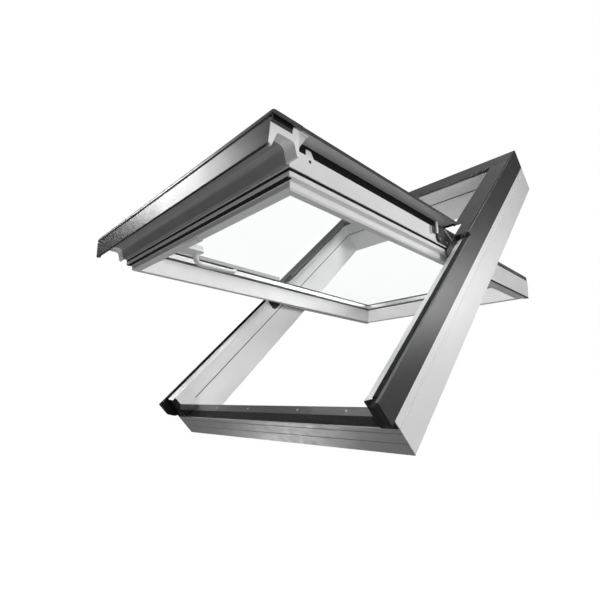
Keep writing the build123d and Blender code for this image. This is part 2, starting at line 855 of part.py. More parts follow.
# Lever: a round neck in the base, and one bar that drops, bends and runs to a turned-up tip
turn = math.radians(lever_direction)
lever_along = across * math.cos(turn) + up_sash * math.sin(turn)
neck_end = sash.from_local_coords(Vector(handle_x, handle_v, handle_base_room))
lever_side = Plane(origin=neck_end, x_dir=lever_along, z_dir=lever_along.cross(out_sash))
with BuildPart() as handle_lever:
    with BuildLine(lever_side) as lever_line:
        FilletPolyline(
            (0, 0),
            (0, -lever_drop),
            (lever_length, -lever_drop),
            (lever_length, lever_tip - lever_drop),
            radius=[lever_bend, lever_tip_bend],
        )
    with BuildSketch(Plane(origin=neck_end, x_dir=lever_along, z_dir=-out_sash)):
        RectangleRounded(lever_thickness, lever_width, lever_thickness / 3)
    sweep(path=lever_line.wires()[0])
    with BuildSketch(Plane(origin=neck_end, x_dir=across, z_dir=out_sash)):
        Circle(neck_radius)
    extrude(amount=handle_base_depth - neck_end_gap)
handle_lever.part.label = "handle_lever"
export_step(handle_lever.part, "parts/handle_lever.step")
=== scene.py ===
import json
import math

import bmesh
import bpy
from mathutils import Matrix, Vector


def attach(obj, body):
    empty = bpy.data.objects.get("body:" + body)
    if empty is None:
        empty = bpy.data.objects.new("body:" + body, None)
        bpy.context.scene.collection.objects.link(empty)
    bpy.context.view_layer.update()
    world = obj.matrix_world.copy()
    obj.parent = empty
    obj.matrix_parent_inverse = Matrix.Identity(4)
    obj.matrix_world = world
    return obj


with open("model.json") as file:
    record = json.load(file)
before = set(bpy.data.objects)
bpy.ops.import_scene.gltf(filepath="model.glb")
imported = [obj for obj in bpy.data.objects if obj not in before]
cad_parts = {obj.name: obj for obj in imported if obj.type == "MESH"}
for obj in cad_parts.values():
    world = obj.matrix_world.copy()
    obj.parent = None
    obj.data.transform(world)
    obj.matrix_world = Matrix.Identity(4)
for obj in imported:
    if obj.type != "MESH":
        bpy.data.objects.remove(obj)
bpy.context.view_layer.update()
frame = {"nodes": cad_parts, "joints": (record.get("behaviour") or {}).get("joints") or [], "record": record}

# Roof window with a white plastic frame and sash and dark metal covers, tilted open.
# Points are given in millimetres along the frame or the sash, and meshes are in metres.
MM = 0.001
ROOF_DEGREES = 45
OPEN_DEGREES = 45.4
ROOF_PITCH = math.radians(ROOF_DEGREES)
SASH_PITCH = math.radians(ROOF_DEGREES - OPEN_DEGREES)
SILL_HALF = 28.5

JOINT_PLACES = {joint["name"]: Vector(joint["pos_m"]) for joint in frame["joints"]}
PIVOT = JOINT_PLACES["sash_pivot"]
ACROSS = Vector((1, 0, 0))
UP_ROOF = Vector((0, math.cos(ROOF_PITCH), math.sin(ROOF_PITCH)))
OUT_ROOF = Vector((0, -math.sin(ROOF_PITCH), math.cos(ROOF_PITCH)))
UP_SASH = Vector((0, math.cos(SASH_PITCH), math.sin(SASH_PITCH)))
OUT_SASH = Vector((0, -math.sin(SASH_PITCH), math.cos(SASH_PITCH)))

# Sizes of the frame and the sash that the pieces are set against, in millimetres
JAMB_INSIDE = 351
HEAD_INSIDE = 1108
SILL_TOP = 60
SIDE_JOINT = 592
OPENING_HALF = 312
OPENING_BOTTOM = -558
OPENING_TOP = 480
OPENING_MIDDLE = (OPENING_TOP + OPENING_BOTTOM) / 2
OPENING_HALF_LENGTH = (OPENING_TOP - OPENING_BOTTOM) / 2
ROOM_FACE = -69
HOOD_FRONT = -662
HOOD_DRIP = -40
COVER_TOP = 22
COVER_HALF = 378
COVER_SHEET = 2
SPACER_LAP = 6
SPACER_MIDDLE = -3
STILE_FACE = 345
HINGE_FACE = 347

# The window's two sides, with the sign of x on each
SIDES = (("right", 1), ("left", -1))

# The photograph's view, in metres, degrees and millimetres of lens and sensor
CAMERA_PLACE = (0.82602, -0.71900, 0.07032)
CAMERA_TURN = 46.5084
CAMERA_TILT = 13.5838
CAMERA_ROLL = 0.4277
CAMERA_LENS = 25.4726
CAMERA_SENSOR = 36


def frame_point(x, u, n):
    """A point by millimetres across, up the roof and out of the roof, from the sill's middle."""
    return (ACROSS * x + UP_ROOF * (u - SILL_HALF) + OUT_ROOF * n) * MM


def sash_point(x, v, m):
    """A point by millimetres across, up the sash and out of the sash, from the pivot."""
    return PIVOT + (ACROSS * x + UP_SASH * v + OUT_SASH * m) * MM


# Shared surface effects
def effect(name, inputs, outputs):
    """An empty shader node group with its named inputs and outputs."""
    group = bpy.data.node_groups.new(name, "ShaderNodeTree")
    for label, kind in inputs:
        group.interface.new_socket(label, in_out="INPUT", socket_type=kind)
    for label, kind in outputs:
        group.interface.new_socket(label, in_out="OUTPUT", socket_type=kind)
    return group, group.nodes.new("NodeGroupInput"), group.nodes.new("NodeGroupOutput")


VECTOR, FLOAT, COLOUR = "NodeSocketVector", "NodeSocketFloat", "NodeSocketColor"
# The part of a noise node's 0..1 in which nearly all its values lie
CLOUD_RANGE = (0.3, 0.7)


def feed(tree, slot, value):
    """Links a socket to the slot, or sets a plain value on it."""
    if isinstance(value, bpy.types.NodeSocket):
        tree.links.new(value, slot)
    else:
        slot.default_value = value


def calculate(tree, operation, *values):
    """A Math node with sockets or numbers as its values."""
    node = tree.nodes.new("ShaderNodeMath")
    node.operation = operation
    for slot, value in zip(node.inputs, values):
        feed(tree, slot, value)
    return node.outputs["Value"]


def combine(tree, operation, first, second):
    """A Vector Math node on two vectors, each a socket or plain numbers."""
    node = tree.nodes.new("ShaderNodeVectorMath")
    node.operation = operation
    feed(tree, node.inputs[0], first)
    feed(tree, node.inputs[1], second)
    return node.outputs["Value" if operation == "DOT_PRODUCT" else "Vector"]


def scaled(tree, vector, factor):
    """A Vector Math node that makes a vector longer or shorter by a factor."""
    node = tree.nodes.new("ShaderNodeVectorMath")
    node.operation = "SCALE"
    tree.links.new(vector, node.inputs[0])
    tree.links.new(factor, node.inputs["Scale"])
    return node.outputs["Vector"]


def across_of(tree, vector):
    """How far a vector reaches to either side, along X."""
    split = tree.nodes.new("ShaderNodeSeparateXYZ")
    tree.links.new(vector, split.inputs["Vector"])
    return calculate(tree, "ABSOLUTE", split.outputs["X"])


def between(tree, value, low, high, start=0.0, end=1.0):
    """A Map Range node that takes low..high to start..end."""
    node = tree.nodes.new("ShaderNodeMapRange")
    tree.links.new(value, node.inputs["Value"])
    limits = {"From Min": low, "From Max": high, "To Min": start, "To Max": end}
    for label, number in limits.items():
        feed(tree, node.inputs[label], number)
    return node.outputs["Result"]


def clouds(tree, position, patch_mm, detail):
    """Noise whose patches are about patch_mm wide."""
    node = tree.nodes.new("ShaderNodeTexNoise")
    tree.links.new(position, node.inputs["Vector"])
    tree.links.new(calculate(tree, "DIVIDE", 1000.0, patch_mm), node.inputs["Scale"])
    node.inputs["Detail"].default_value = detail
    return node.outputs["Fac"]


def make_uneven_tone():
    """Slow changes of a base colour over the surface."""
    tree, given, result = effect(
        "uneven_tone",
        (("Position", VECTOR), ("Patch Size", FLOAT), ("Colour", COLOUR), ("Change", FLOAT)),
        (("Colour", COLOUR),),
    )
    patches = clouds(tree, given.outputs["Position"], given.outputs["Patch Size"], 4.0)
    darker = calculate(tree, "SUBTRACT", 1.0, given.outputs["Change"])
    lighter = calculate(tree, "ADD", 1.0, given.outputs["Change"])
    factor = between(tree, patches, *CLOUD_RANGE, darker, lighter)
    tree.links.new(scaled(tree, given.outputs["Colour"], factor), result.inputs["Colour"])
    return tree


def make_uneven_gloss():
    """Slow changes of the roughness, as left by handling and weather."""
    tree, given, result = effect(
        "uneven_gloss",
        (("Position", VECTOR), ("Patch Size", FLOAT), ("Roughness", FLOAT), ("Change", FLOAT)),
        (("Roughness", FLOAT),),
    )
    patches = clouds(tree, given.outputs["Position"], given.outputs["Patch Size"], 5.0)
    low = calculate(tree, "SUBTRACT", given.outputs["Roughness"], given.outputs["Change"])
    high = calculate(tree, "ADD", given.outputs["Roughness"], given.outputs["Change"])
    tree.links.new(between(tree, patches, *CLOUD_RANGE, low, high), result.inputs["Roughness"])
    return tree


def make_fine_grain():
    """The small bumps of moulded plastic, rubber and powder coating."""
    tree, given, result = effect(
        "fine_grain",
        (("Position", VECTOR), ("Grain Size", FLOAT), ("Coarse Share", FLOAT)),
        (("Height", FLOAT),),
    )
    grain = clouds(tree, given.outputs["Position"], given.outputs["Grain Size"], 2.0)
    coarse_size = calculate(tree, "MULTIPLY", given.outputs["Grain Size"], 9.0)
    coarse = clouds(tree, given.outputs["Position"], coarse_size, 2.0)
    mixed = calculate(tree, "MULTIPLY", coarse, given.outputs["Coarse Share"])
    tree.links.new(calculate(tree, "ADD", grain, mixed), result.inputs["Height"])
    return tree


def make_streaks():
    """Long faint marks along one direction, as from rolling, brushing or rain."""
    inputs = (("Position", VECTOR), ("Along", VECTOR), ("Length", FLOAT), ("Width", FLOAT))
    tree, given, result = effect("streaks", (*inputs, ("Share", FLOAT)), (("Mask", FLOAT),))
    position, direction = given.outputs["Position"], given.outputs["Along"]
    along = combine(tree, "DOT_PRODUCT", position, direction)
    squeeze = calculate(tree, "DIVIDE", given.outputs["Width"], given.outputs["Length"])
    shift = calculate(tree, "MULTIPLY", along, calculate(tree, "SUBTRACT", squeeze, 1.0))
    moved = combine(tree, "ADD", position, scaled(tree, direction, shift))
    marks = clouds(tree, moved, given.outputs["Width"], 3.0)
    fewest, full = 0.75, 0.8
    more = calculate(tree, "MULTIPLY", given.outputs["Share"], 0.5)
    start = calculate(tree, "SUBTRACT", fewest, more)
    tree.links.new(between(tree, marks, start, full), result.inputs["Mask"])
    return tree


def make_weld_line():
    """A hair line along the mitres where the sash bars are welded."""
    inputs = (("Position", VECTOR), ("Width", FLOAT))
    tree, given, result = effect("weld_line", inputs, (("Mask", FLOAT),))
    middle = PIVOT + UP_SASH * OPENING_MIDDLE * MM
    from_middle = combine(tree, "SUBTRACT", given.outputs["Position"], middle)
    aside = calculate(tree, "SUBTRACT", across_of(tree, from_middle), OPENING_HALF * MM)
    lengthways = calculate(tree, "ABSOLUTE", combine(tree, "DOT_PRODUCT", from_middle, UP_SASH))
    beyond = calculate(tree, "SUBTRACT", lengthways, OPENING_HALF_LENGTH * MM)
    off_mitre = calculate(tree, "ABSOLUTE", calculate(tree, "SUBTRACT", aside, beyond))
    width = calculate(tree, "MULTIPLY", given.outputs["Width"], MM)
    line = calculate(tree, "SUBTRACT", 1.0, calculate(tree, "DIVIDE", off_mitre, width))
    tree.links.new(calculate(tree, "MAXIMUM", line, 0.0), result.inputs["Mask"])
    return tree


def make_cover_inside():
    """1 on the inside of the side covers: under their top sheet and within their outer fold."""
    tree, given, result = effect("cover_inside", (("Position", VECTOR),), (("Mask", FLOAT),))
    below_top, within_edge = 0.6 * COVER_SHEET, 0.3 * COVER_SHEET
    from_pivot = combine(tree, "SUBTRACT", given.outputs["Position"], PIVOT)
    outwards = combine(tree, "DOT_PRODUCT", from_pivot, OUT_SASH)
    under_sheet = calculate(tree, "LESS_THAN", outwards, (COVER_TOP - below_top) * MM)
    aside = across_of(tree, from_pivot)
    within_fold = calculate(tree, "LESS_THAN", aside, (COVER_HALF - within_edge) * MM)
    tree.links.new(calculate(tree, "MULTIPLY", under_sheet, within_fold), result.inputs["Mask"])
    return tree


UNEVEN_TONE = make_uneven_tone()
UNEVEN_GLOSS = make_uneven_gloss()
FINE_GRAIN = make_fine_grain()
STREAKS = make_streaks()
WELD_LINE = make_weld_line()
COVER_INSIDE = make_cover_inside()


# Material helpers
# How much the glass holds back of the light that passes it on the way to another surface
ALPHA_IN_SHADOW = 0.05


def grey(value):
    """A grey as a colour socket takes it."""
    return (value, value, value, 1)


def new_material(name, **sockets):
    """A material with a Principled shader whose plain values are set on its own sockets.

    Comes back with its node tree, the shader and the Object coordinates.
    """
    material = bpy.data.materials.new(name)
    material.use_nodes = True
    shader = material.node_tree.nodes["Principled BSDF"]
    for socket, value in sockets.items():
        shader.inputs[socket.replace("_", " ")].default_value = value
    where = material.node_tree.nodes.new("ShaderNodeTexCoord").outputs["Object"]
    return material, material.node_tree, shader, where


def use(tree, effect_tree, where, **values):
    """One of the shared effects, with this material's own values."""
    node = tree.nodes.new("ShaderNodeGroup")
    node.node_tree = effect_tree
    tree.links.new(where, node.inputs["Position"])
    for label, value in values.items():
        node.inputs[label.replace("_", " ")].default_value = value
    return node.outputs[0]


def mix_colour(tree, mask, colour, other):
    """The colour goes over to the other one where the mask is 1."""
    node = tree.nodes.new("ShaderNodeMix")
    node.data_type = "RGBA"
    tree.links.new(mask, node.inputs["Factor"])
    tree.links.new(colour, node.inputs["A"])
    node.inputs["B"].default_value = other
    return node.outputs["Result"]


def finish_surface(tree, shader, colour, roughness, height, strength, distance_mm):
    """Feeds the shader's colour, its roughness and, through bumps, its normal."""
    tree.links.new(colour, shader.inputs["Base Color"])
    tree.links.new(roughness, shader.inputs["Roughness"])
    node = tree.nodes.new("ShaderNodeBump")
    node.inputs["Strength"].default_value = strength
    node.inputs["Distance"].default_value = distance_mm * MM
    tree.links.new(height, node.inputs["Height"])
    tree.links.new(node.outputs["Normal"], shader.inputs["Normal"])


# Materials
def white_plastic(name, along):
    """Smooth white window plastic with faint marks along the bars."""
    material, tree, shader, where = new_material(name, Coat_Weight=0.15, Coat_Roughness=0.2)
    colour = use(tree, UNEVEN_TONE, where, Patch_Size=70, Colour=grey(0.84), Change=0.02)
    marks = use(tree, STREAKS, where, Along=along, Length=260, Width=9, Share=0.35)
    colour = mix_colour(tree, calculate(tree, "MULTIPLY", marks, 0.10), colour, grey(0.45))
    roughness = use(tree, UNEVEN_GLOSS, where, Patch_Size=30, Roughness=0.34, Change=0.06)
    height = use(tree, FINE_GRAIN, where, Grain_Size=0.9, Coarse_Share=1.5)
    finish_surface(tree, shader, colour, roughness, height, 0.12, 0.05)
    return material


def white_sash_plastic():
    """The same plastic, with the hair lines of the welded mitres."""
    material, tree, shader, where = new_material(
        "white_sash_plastic", Coat_Weight=0.15, Coat_Roughness=0.2
    )
    colour = use(tree, UNEVEN_TONE, where, Patch_Size=70, Colour=grey(0.84), Change=0.02)
    weld = use(tree, WELD_LINE, where, Width=0.7)
    colour = mix_colour(tree, calculate(tree, "MULTIPLY", weld, 0.6), colour, grey(0.3))
    roughness = use(tree, UNEVEN_GLOSS, where, Patch_Size=30, Roughness=0.34, Change=0.06)
    grain = use(tree, FINE_GRAIN, where, Grain_Size=0.9, Coarse_Share=1.5)
    height = calculate(tree, "SUBTRACT", grain, calculate(tree, "MULTIPLY", weld, 3.0))
    finish_surface(tree, shader, colour, roughness, height, 0.12, 0.05)
    return material


def dark_coating(name, along, light_grey_inside=False):
    """Dark grey powder coating on aluminium, satin, with faint rain marks.

    With light_grey_inside, the inside of the side covers is a light grey instead of the dark coating.
    """
    material, tree, shader, where = new_material(name, Coat_Weight=0.25, Coat_Roughness=0.3)
    colour = use(tree, UNEVEN_TONE, where, Patch_Size=45, Colour=grey(0.042), Change=0.12)
    marks = use(tree, STREAKS, where, Along=along, Length=180, Width=5, Share=0.4)
    colour = mix_colour(tree, calculate(tree, "MULTIPLY", marks, 0.35), colour, grey(0.085))
    if light_grey_inside:
        colour = mix_colour(tree, use(tree, COVER_INSIDE, where), colour, grey(0.52))
    roughness = use(tree, UNEVEN_GLOSS, where, Patch_Size=60, Roughness=0.36, Change=0.03)
    height = use(tree, FINE_GRAIN, where, Grain_Size=0.7, Coarse_Share=1.0)
    finish_surface(tree, shader, colour, roughness, height, 0.22, 0.06)
    return material


def lining_coating():
    """Mid grey coating on the inside of the rain hood."""
    material, tree, shader, where = new_material("lining_coating")
    colour = use(tree, UNEVEN_TONE, where, Patch_Size=50, Colour=grey(0.3), Change=0.08)
    marks = use(tree, STREAKS, where, Along=ACROSS, Length=220, Width=6, Share=0.4)
    colour = mix_colour(tree, calculate(tree, "MULTIPLY", marks, 0.3), colour, grey(0.4))
    roughness = use(tree, UNEVEN_GLOSS, where, Patch_Size=25, Roughness=0.45, Change=0.06)
    height = use(tree, FINE_GRAIN, where, Grain_Size=0.7, Coarse_Share=1.0)
    finish_surface(tree, shader, colour, roughness, height, 0.2, 0.05)
    return material


def grey_apron():
    """Grey coated sheet, satin, with long faint rolling marks across the window."""
    material, tree, shader, where = new_material("grey_apron", Metallic=0.55)
    colour = use(tree, UNEVEN_TONE, where, Patch_Size=60, Colour=grey(0.30), Change=0.08)
    marks = use(tree, STREAKS, where, Along=ACROSS, Length=300, Width=3, Share=0.5)
    colour = mix_colour(tree, calculate(tree, "MULTIPLY", marks, 0.35), colour, grey(0.42))
    roughness = use(tree, UNEVEN_GLOSS, where, Patch_Size=18, Roughness=0.42, Change=0.06)
    height = use(tree, FINE_GRAIN, where, Grain_Size=0.8, Coarse_Share=1.0)
    finish_surface(tree, shader, colour, roughness, height, 0.2, 0.05)
    return material


def black_rubber():
    """Matt black seal rubber with a dusty bloom."""
    material, tree, shader, where = new_material("black_rubber", Specular_IOR_Level=0.15)
    colour = use(tree, UNEVEN_TONE, where, Patch_Size=20, Colour=grey(0.007), Change=0.25)
    bloom = use(tree, STREAKS, where, Along=ACROSS, Length=30, Width=6, Share=0.45)
    colour = mix_colour(tree, calculate(tree, "MULTIPLY", bloom, 0.3), colour, grey(0.02))
    roughness = use(tree, UNEVEN_GLOSS, where, Patch_Size=8, Roughness=0.7, Change=0.1)
    height = use(tree, FINE_GRAIN, where, Grain_Size=0.6, Coarse_Share=0.8)
    finish_surface(tree, shader, colour, roughness, height, 0.35, 0.08)
    return material


def clear_glass():
    """Float glass, clear, with the faintest smears; light for shadows passes straight through."""
    material, tree, shader, where = new_material(
        "clear_glass",
        Metallic=0.0,
        Transmission_Weight=1.0,
        IOR=1.02,
        Base_Color=(0.985, 0.992, 0.99, 1),
    )
    roughness = use(tree, UNEVEN_GLOSS, where, Patch_Size=90, Roughness=0.012, Change=0.012)
    tree.links.new(roughness, shader.inputs["Roughness"])
    path = tree.nodes.new("ShaderNodeLightPath")
    shadow, diffuse = path.outputs["Is Shadow Ray"], path.outputs["Is Diffuse Ray"]
    let_through = calculate(tree, "MAXIMUM", shadow, diffuse)
    alpha = between(tree, let_through, 0.0, 1.0, 1.0, ALPHA_IN_SHADOW)
    tree.links.new(alpha, shader.inputs["Alpha"])
    return material


def spacer_metal():
    """Mill finish strip with fine lines along it."""
    material, tree, shader, where = new_material("spacer_metal", Metallic=0.85)
    colour = use(tree, UNEVEN_TONE, where, Patch_Size=25, Colour=grey(0.62), Change=0.05)
    lines = use(tree, STREAKS, where, Along=UP_SASH, Length=60, Width=0.8, Share=0.5)
    colour = mix_colour(tree, calculate(tree, "MULTIPLY", lines, 0.25), colour, grey(0.4))
    roughness = use(tree, UNEVEN_GLOSS, where, Patch_Size=6, Roughness=0.38, Change=0.06)
    height = use(tree, FINE_GRAIN, where, Grain_Size=0.5, Coarse_Share=0.4)
    finish_surface(tree, shader, colour, roughness, height, 0.15, 0.03)
    return material


def hinge_steel():
    """Black coated steel, rubbed a little lighter in patches."""
    material, tree, shader, where = new_material("hinge_steel", Metallic=0.4)
    colour = use(tree, UNEVEN_TONE, where, Patch_Size=12, Colour=grey(0.035), Change=0.3)
    rubbed = use(tree, STREAKS, where, Along=UP_SASH, Length=25, Width=3, Share=0.35)
    colour = mix_colour(tree, calculate(tree, "MULTIPLY", rubbed, 0.5), colour, grey(0.14))
    roughness = use(tree, UNEVEN_GLOSS, where, Patch_Size=7, Roughness=0.4, Change=0.1)
    height = use(tree, FINE_GRAIN, where, Grain_Size=0.7, Coarse_Share=0.8)
    finish_surface(tree, shader, colour, roughness, height, 0.25, 0.05)
    return material


def white_fitting():
    """White moulded plastic of the handle and the hood caps, softer in gloss than the bars."""
    material, tree, shader, where = new_material("white_fitting")
    colour = use(tree, UNEVEN_TONE, where, Patch_Size=25, Colour=grey(0.84), Change=0.02)
    roughness = use(tree, UNEVEN_GLOSS, where, Patch_Size=12, Roughness=0.42, Change=0.06)
    height = use(tree, FINE_GRAIN, where, Grain_Size=0.5, Coarse_Share=2.0)
    finish_surface(tree, shader, colour, roughness, height, 0.18, 0.05)
    return material


def bright_steel():
    """Zinc plated steel of the screws, the hinge arm and the pivot washer."""
    material, tree, shader, where = new_material("bright_steel", Metallic=0.9)
    colour = use(tree, UNEVEN_TONE, where, Patch_Size=6, Colour=grey(0.55), Change=0.15)
    roughness = use(tree, UNEVEN_GLOSS, where, Patch_Size=4, Roughness=0.34, Change=0.08)
    height = use(tree, FINE_GRAIN, where, Grain_Size=0.4, Coarse_Share=1.0)
    finish_surface(tree, shader, colour, roughness, height, 0.2, 0.03)
    return material


def painted_hollow_shade():
    """Painted shade for the dark inside of small recesses and holes."""
    material, tree, shader, where = new_material("painted_hollow_shade", Metallic=0.0)
    colour = use(tree, UNEVEN_TONE, where, Patch_Size=3, Colour=grey(0.02), Change=0.4)
    roughness = use(tree, UNEVEN_GLOSS, where, Patch_Size=3, Roughness=0.7, Change=0.1)
    height = use(tree, FINE_GRAIN, where, Grain_Size=0.4, Coarse_Share=0.5)
    finish_surface(tree, shader, colour, roughness, height, 0.2, 0.03)
    return material


MATERIALS = {
    "frame_white": white_plastic("white_plastic", UP_ROOF),
    "sash_white": white_sash_plastic(),
    "roof_metal": dark_coating("dark_coating", UP_ROOF),
    "hood_metal": dark_coating("dark_hood_coating", ACROSS),
    "cover_metal": dark_coating("dark_cover_coating", UP_SASH, light_grey_inside=True),
    "lining_metal": lining_coating(),
    "black_rubber": black_rubber(),
    "grey_apron": grey_apron(),
    "clear_glass": clear_glass(),
    "spacer_metal": spacer_metal(),
    "hinge_steel": hinge_steel(),
    "white_fitting": white_fitting(),
    "bright_steel": bright_steel(),
    "painted_hollow_shade": painted_hollow_shade(),
}
FINISH_OF_SLOT = {
    "white_plastic": "frame_white",
    "dark_cladding": "roof_metal",
    "black_rubber": "black_rubber",
    "grey_apron": "grey_apron",
    "clear_glass": "clear_glass",
    "spacer_metal": "spacer_metal",
    "hinge_metal": "hinge_steel",
    "white_fittings": "white_fitting",
}
OWN_FINISH = {
    "sash_right_stile": "sash_white",
    "sash_left_stile": "sash_white",
    "sash_bottom_rail": "sash_white",
    "sash_top_rail": "sash_white",
    "rain_hood": "hood_metal",
    "hood_lining": "lining_metal",
    "side_cover_right": "cover_metal",
    "side_cover_left": "cover_metal",
    "head_cover": "hood_metal",
    "sill_cover": "hood_metal",
}


def paint_nodes():
    """Gives every CAD node its material."""
    for subpart in frame["record"]["subparts"]:
        node = subpart["node"]
        finish = OWN_FINISH.get(node, FINISH_OF_SLOT[subpart["material_slot"]])
        slots = frame["nodes"][node].data.materials
        slots.clear()
        slots.append(MATERIALS[finish])


# Ways to make pieces
def in_scene(name, data):
    """A new object in the scene."""
    made = bpy.data.objects.new(name, data)
    bpy.context.scene.collection.objects.link(made)
    return made


def piece_of(form, name):
    """A piece with the mesh of a bmesh form, which is freed."""
    mesh = bpy.data.meshes.new(name)
    form.to_mesh(mesh)
    form.free()
    return in_scene(name, mesh)


def settle(piece, name):
    """The piece with its modifiers or its curve turned to a plain mesh."""
    seen = piece.evaluated_get(bpy.context.evaluated_depsgraph_get())
    mesh = bpy.data.meshes.new_from_object(seen)
    bpy.data.objects.remove(piece)
    mesh.name = name
    return in_scene(name, mesh)


def place(piece, body, finish):
    """Gives a finished piece its material and its body."""
    piece.data.materials.clear()
    piece.data.materials.append(MATERIALS[finish])
    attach(piece, body)
    return piece


def plate(name, outline, push, rounding_mm):
    """A plate or bar: an outline of points, pushed along a vector, with softened edges."""
    form = bmesh.new()
    face = form.faces.new([form.verts.new(point) for point in outline])
    pushed = bmesh.ops.extrude_face_region(form, geom=[face])
    moved = [item for item in pushed["geom"] if isinstance(item, bmesh.types.BMVert)]
    bmesh.ops.translate(form, vec=push, verts=moved)
    bmesh.ops.recalc_face_normals(form, faces=form.faces)
    piece = piece_of(form, name + "_form")
    soften = piece.modifiers.new("soften", "BEVEL")
    soften.width = rounding_mm * MM
    soften.segments = 2
    return settle(piece, name)


def side_outline(point_at, x, corners):
    """Points at one distance across, from corners given along and outwards."""
    return [point_at(x, along, out) for along, out in corners]


def section_outline(point_at, sign, along, corners):
    """Points at one place along, from corners given across and outwards, on one side."""
    return [point_at(sign * x, along, out) for x, out in corners]


def ring_of(centre, first, second, radius, count=28):
    """Points of a circle around a centre, in the plane of two directions."""
    turns = [2 * math.pi * step / count for step in range(count)]
    spokes = [first * math.cos(turn) + second * math.sin(turn) for turn in turns]
    return [centre + spoke * radius * MM for spoke in spokes]


def cord_of_rubber(name, points, radius_mm):
    """A round gasket along a line of points, with closed ends."""
    curve = bpy.data.curves.new(name, "CURVE")
    curve.dimensions = "3D"
    curve.bevel_depth = radius_mm * MM
    curve.bevel_resolution = 2
    curve.use_fill_caps = True
    line = curve.splines.new("POLY")
    line.points.add(len(points) - 1)
    for place_on_line, point in zip(line.points, points):
        place_on_line.co = (*point, 1)
    return settle(in_scene(name + "_form", curve), name)


def join(name, pieces):
    """Several plain meshes as one piece."""
    form = bmesh.new()
    for piece in pieces:
        form.from_mesh(piece.data)
        bpy.data.objects.remove(piece)
    return piece_of(form, name)


# Repeated small parts, made by Geometry Nodes
def repeat_tree(name, inputs):
    """An empty Geometry Nodes tree that takes a mesh of places and named sizes."""
    tree = bpy.data.node_groups.new(name, "GeometryNodeTree")
    tree.interface.new_socket("Places", in_out="INPUT", socket_type="NodeSocketGeometry")
    for label, kind in inputs:
        tree.interface.new_socket(label, in_out="INPUT", socket_type=kind)
    tree.interface.new_socket("Parts", in_out="OUTPUT", socket_type="NodeSocketGeometry")
    return tree, tree.nodes.new("NodeGroupInput"), tree.nodes.new("NodeGroupOutput")


def standing(tree, facing):
    """A rotation that turns a part's Z to the facing direction."""
    node = tree.nodes.new("FunctionNodeAlignRotationToVector")
    node.axis = "Z"
    tree.links.new(facing, node.inputs["Vector"])
    return node.outputs["Rotation"]


def make_screw_tree():
    """Pan heads on points: a low cone with a smaller one on it, or only the crossed recess.

    Every measure in the tree is a share of the head's radius.
    """
    tree, given, result = repeat_tree(
        "screw_heads",
        (
            ("Radius", FLOAT),
            ("Facing", VECTOR),
            ("Only Recess", "NodeSocketBool"),
            ("Seed", "NodeSocketInt"),
            ("Finish", "NodeSocketMaterial"),
        ),
    )
    links = tree.links
    radius = given.outputs["Radius"]
    rim_height, top_height, shoulder, crown = 0.26, 0.2, 0.86, 0.5
    bar_sides, bar_lift = {"X": 1.1, "Y": 0.22, "Z": 0.12}, 0.43
    most_turn = 3.0

    def size(share):
        return calculate(tree, "MULTIPLY", radius, share)

    def cone(low, high, height, lift):
        node = tree.nodes.new("GeometryNodeMeshCone")
        node.inputs["Vertices"].default_value = 20
        links.new(size(high), node.inputs["Radius Top"])
        links.new(size(low), node.inputs["Radius Bottom"])
        links.new(size(height), node.inputs["Depth"])
        return lifted(node.outputs["Mesh"], lift)

    def lifted(mesh, lift, turn=0.0):
        node = tree.nodes.new("GeometryNodeTransform")
        spot = tree.nodes.new("ShaderNodeCombineXYZ")
        links.new(size(lift), spot.inputs["Z"])
        links.new(mesh, node.inputs["Geometry"])
        links.new(spot.outputs["Vector"], node.inputs["Translation"])
        node.inputs["Rotation"].default_value = (0, 0, turn)
        return node.outputs["Geometry"]

    def bar(turn):
        node = tree.nodes.new("GeometryNodeMeshCube")
        sides = tree.nodes.new("ShaderNodeCombineXYZ")
        for axis, share in bar_sides.items():
            links.new(size(share), sides.inputs[axis])
        links.new(sides.outputs["Vector"], node.inputs["Size"])
        return lifted(node.outputs["Mesh"], bar_lift, turn)

    def joined(*parts):
        node = tree.nodes.new("GeometryNodeJoinGeometry")
        for part in parts:
            links.new(part, node.inputs["Geometry"])
        return node.outputs["Geometry"]

    rim = cone(1.0, shoulder, rim_height, 0.0)
    top = cone(shoulder, crown, top_height, rim_height)
    head = joined(rim, top)
    recess = joined(bar(0.0), bar(math.pi / 2))
    choice = tree.nodes.new("GeometryNodeSwitch")
    choice.input_type = "GEOMETRY"
    links.new(given.outputs["Only Recess"], choice.inputs["Switch"])
    links.new(head, choice.inputs["False"])
    links.new(recess, choice.inputs["True"])

    turn = tree.nodes.new("FunctionNodeRandomValue")
    turn.data_type = "FLOAT"
    turn.inputs["Max"].default_value = most_turn
    links.new(given.outputs["Seed"], turn.inputs["Seed"])
    own_turn = tree.nodes.new("ShaderNodeCombineXYZ")
    links.new(turn.outputs["Value"], own_turn.inputs["Z"])
    to_rotation = tree.nodes.new("FunctionNodeEulerToRotation")
    links.new(own_turn.outputs["Vector"], to_rotation.inputs["Euler"])
    turned = tree.nodes.new("FunctionNodeRotateRotation")
    turned.rotation_space = "LOCAL"
    links.new(standing(tree, given.outputs["Facing"]), turned.inputs["Rotation"])
    links.new(to_rotation.outputs["Rotation"], turned.inputs["Rotate By"])

    chosen, rotation = choice.outputs["Output"], turned.outputs["Rotation"]
    end_tree(tree, given, result, chosen, rotation, given.outputs["Places"])
    return tree


